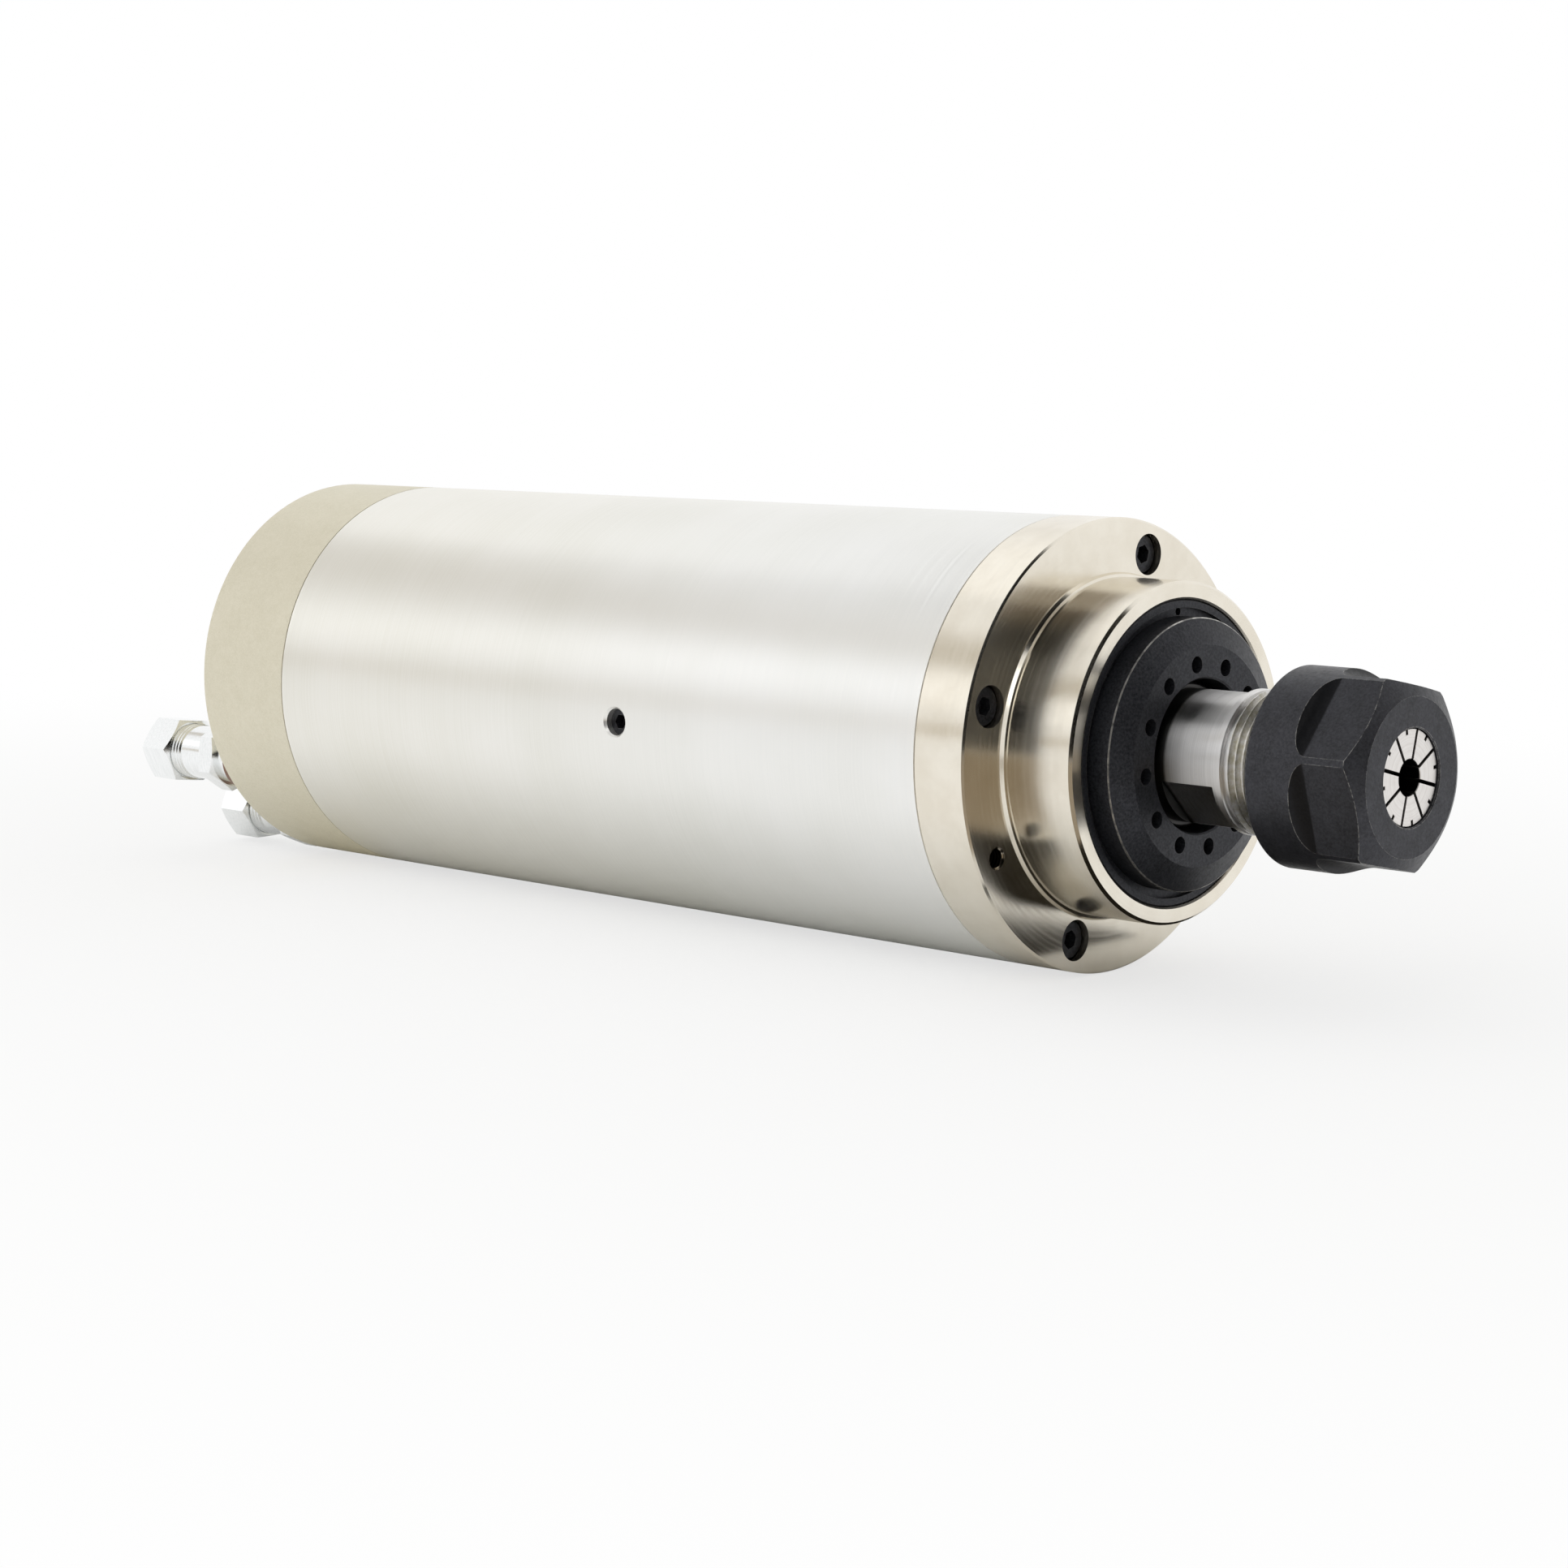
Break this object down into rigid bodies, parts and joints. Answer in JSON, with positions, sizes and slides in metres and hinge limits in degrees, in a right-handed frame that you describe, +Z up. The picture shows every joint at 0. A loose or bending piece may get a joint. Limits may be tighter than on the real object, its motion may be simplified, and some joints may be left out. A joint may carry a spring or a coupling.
{
  "type": "motor spindle",
  "caption": "Round water-cooled motor spindle with a flanged nose, a black collet nut on a ground shaft, and two hose fittings and a power socket behind.",
  "frame": {"origin": "on the spindle axis, in the middle of the body tube", "axes": "+X along the axis towards the nose, +Y away from the side with the lock screw, +Z up"},
  "size_m": [0.3019, 0.08, 0.08],
  "materials": {
    "ground_stainless": "satin ground",
    "turned_aluminium": "turned",
    "seal_rubber": "matte",
    "plated_steel": "turned and nickel plated",
    "black_oxide_steel": "black oxide, matte",
    "felt": "matte",
    "plain_steel": "satin",
    "core_lamination": "matte",
    "copper_winding": "varnished",
    "slot_wedge": "matte",
    "blasted_steel": "blasted, matte",
    "plated_brass": "bright nickel",
    "phenolic": "semi-matte",
    "contact_brass": "bright",
    "lead_insulation": "matte",
    "earth_insulation": "matte",
    "ground_shaft": "ground and polished",
    "cast_aluminium": "as cast",
    "collet_steel": "ground",
    "bearing_steel": "polished",
    "cage_phenolic": "matte",
    "copper_washer": "satin"
  },
  "bodies": {
    "housing": {"body_tube": "ground_stainless", "water_jacket": "turned_aluminium", "jacket_o_rings": "seal_rubber", "front_flange": "plated_steel", "flange_o_ring": "seal_rubber", "flange_screws": "black_oxide_steel", "gland_nut": "black_oxide_steel", "gland_felt_ring": "felt", "bearing_spacer_outer": "plain_steel", "stator_core": "core_lamination", "stator_windings": "copper_winding", "slot_wedges": "slot_wedge", "stator_lock_screw": "black_oxide_steel", "rear_bearing_seat": "turned_aluminium", "wave_spring": "plain_steel", "rear_cap": "blasted_steel", "rear_cap_screws": "black_oxide_steel", "port_o_rings": "seal_rubber", "connector_shell": "plated_brass", "connector_insert": "phenolic", "connector_pins": "contact_brass", "connector_nut": "plated_brass", "connector_gasket": "seal_rubber", "phase_leads": "lead_insulation", "earth_lead": "earth_insulation", "earth_screw": "contact_brass", "front_bearing_a_outer_ring": "bearing_steel", "rear_bearing_a_outer_ring": "bearing_steel", "front_bearing_b_outer_ring": "bearing_steel", "rear_bearing_b_outer_ring": "bearing_steel", "inlet_fitting": "plated_brass", "inlet_washer": "copper_washer", "outlet_fitting": "plated_brass", "outlet_washer": "copper_washer"},
    "rotor": {"shaft": "ground_shaft", "rotor_core": "core_lamination", "rotor_cage": "cast_aluminium", "front_lock_nut": "plain_steel", "rear_lock_nut": "plain_steel", "bearing_spacer_inner": "plain_steel", "front_bearing_a_inner_ring": "bearing_steel", "front_bearing_b_inner_ring": "bearing_steel", "rear_bearing_a_inner_ring": "bearing_steel", "rear_bearing_b_inner_ring": "bearing_steel"},
    "front_cage_a": {"front_bearing_a_balls": "bearing_steel", "front_bearing_a_cage": "cage_phenolic"},
    "front_cage_b": {"front_bearing_b_balls": "bearing_steel", "front_bearing_b_cage": "cage_phenolic"},
    "rear_cage_a": {"rear_bearing_a_balls": "bearing_steel", "rear_bearing_a_cage": "cage_phenolic"},
    "rear_cage_b": {"rear_bearing_b_balls": "bearing_steel", "rear_bearing_b_cage": "cage_phenolic"},
    "collet": {"collet": "collet_steel"},
    "collet_nut": {"collet_nut": "black_oxide_steel"},
    "inlet_ferrule": {"inlet_ferrule": "contact_brass"},
    "inlet_nut": {"inlet_nut": "plated_brass"},
    "outlet_ferrule": {"outlet_ferrule": "contact_brass"},
    "outlet_nut": {"outlet_nut": "plated_brass"}
  },
  "joints": [
    {"name": "spindle_spin", "type": "hinge", "parent": "housing", "child": "rotor", "pos_m": [0, 0, 0], "axis": [1, 0, 0], "continuous": true},
    {"name": "front_cage_a_spin", "type": "hinge", "parent": "housing", "child": "front_cage_a", "pos_m": [0, 0, 0], "axis": [1, 0, 0], "continuous": true},
    {"name": "front_cage_b_spin", "type": "hinge", "parent": "housing", "child": "front_cage_b", "pos_m": [0, 0, 0], "axis": [1, 0, 0], "continuous": true},
    {"name": "rear_cage_a_spin", "type": "hinge", "parent": "housing", "child": "rear_cage_a", "pos_m": [0, 0, 0], "axis": [1, 0, 0], "continuous": true},
    {"name": "rear_cage_b_spin", "type": "hinge", "parent": "housing", "child": "rear_cage_b", "pos_m": [0, 0, 0], "axis": [1, 0, 0], "continuous": true},
    {"name": "collet_slide", "type": "slide", "parent": "rotor", "child": "collet", "axis": [1, 0, 0], "range_m": [0, 0.0045]},
    {"name": "collet_nut_turn", "type": "hinge", "parent": "collet", "child": "collet_nut", "pos_m": [0.1465, 0, 0], "axis": [1, 0, 0], "range_deg": [0, 1081]},
    {"name": "inlet_ferrule_slide", "type": "slide", "parent": "housing", "child": "inlet_ferrule", "axis": [-1, 0, 0], "range_m": [-0.00138, 0.0015]},
    {"name": "inlet_nut_turn", "type": "hinge", "parent": "inlet_ferrule", "child": "inlet_nut", "pos_m": [-0.1375, -0.02783, -0.01773], "axis": [-1, 0, 0], "range_deg": [-500, 541]},
    {"name": "outlet_ferrule_slide", "type": "slide", "parent": "housing", "child": "outlet_ferrule", "axis": [-1, 0, 0], "range_m": [-0.00138, 0.0015]},
    {"name": "outlet_nut_turn", "type": "hinge", "parent": "outlet_ferrule", "child": "outlet_nut", "pos_m": [-0.1375, -0.00714, -0.03222], "axis": [-1, 0, 0], "range_deg": [-500, 541]}
  ],
  "couplings": [
    {"joint": "front_cage_a_spin", "follows": "spindle_spin", "ratio": 0.4148},
    {"joint": "front_cage_b_spin", "follows": "spindle_spin", "ratio": 0.4148},
    {"joint": "rear_cage_a_spin", "follows": "spindle_spin", "ratio": 0.4022},
    {"joint": "rear_cage_b_spin", "follows": "spindle_spin", "ratio": 0.4022},
    {"joint": "collet_nut_turn", "follows": "collet_slide", "rad_per_m": 4188.8},
    {"joint": "inlet_nut_turn", "follows": "inlet_ferrule_slide", "rad_per_m": 6283.2},
    {"joint": "outlet_nut_turn", "follows": "outlet_ferrule_slide", "rad_per_m": 6283.2}
  ]
}
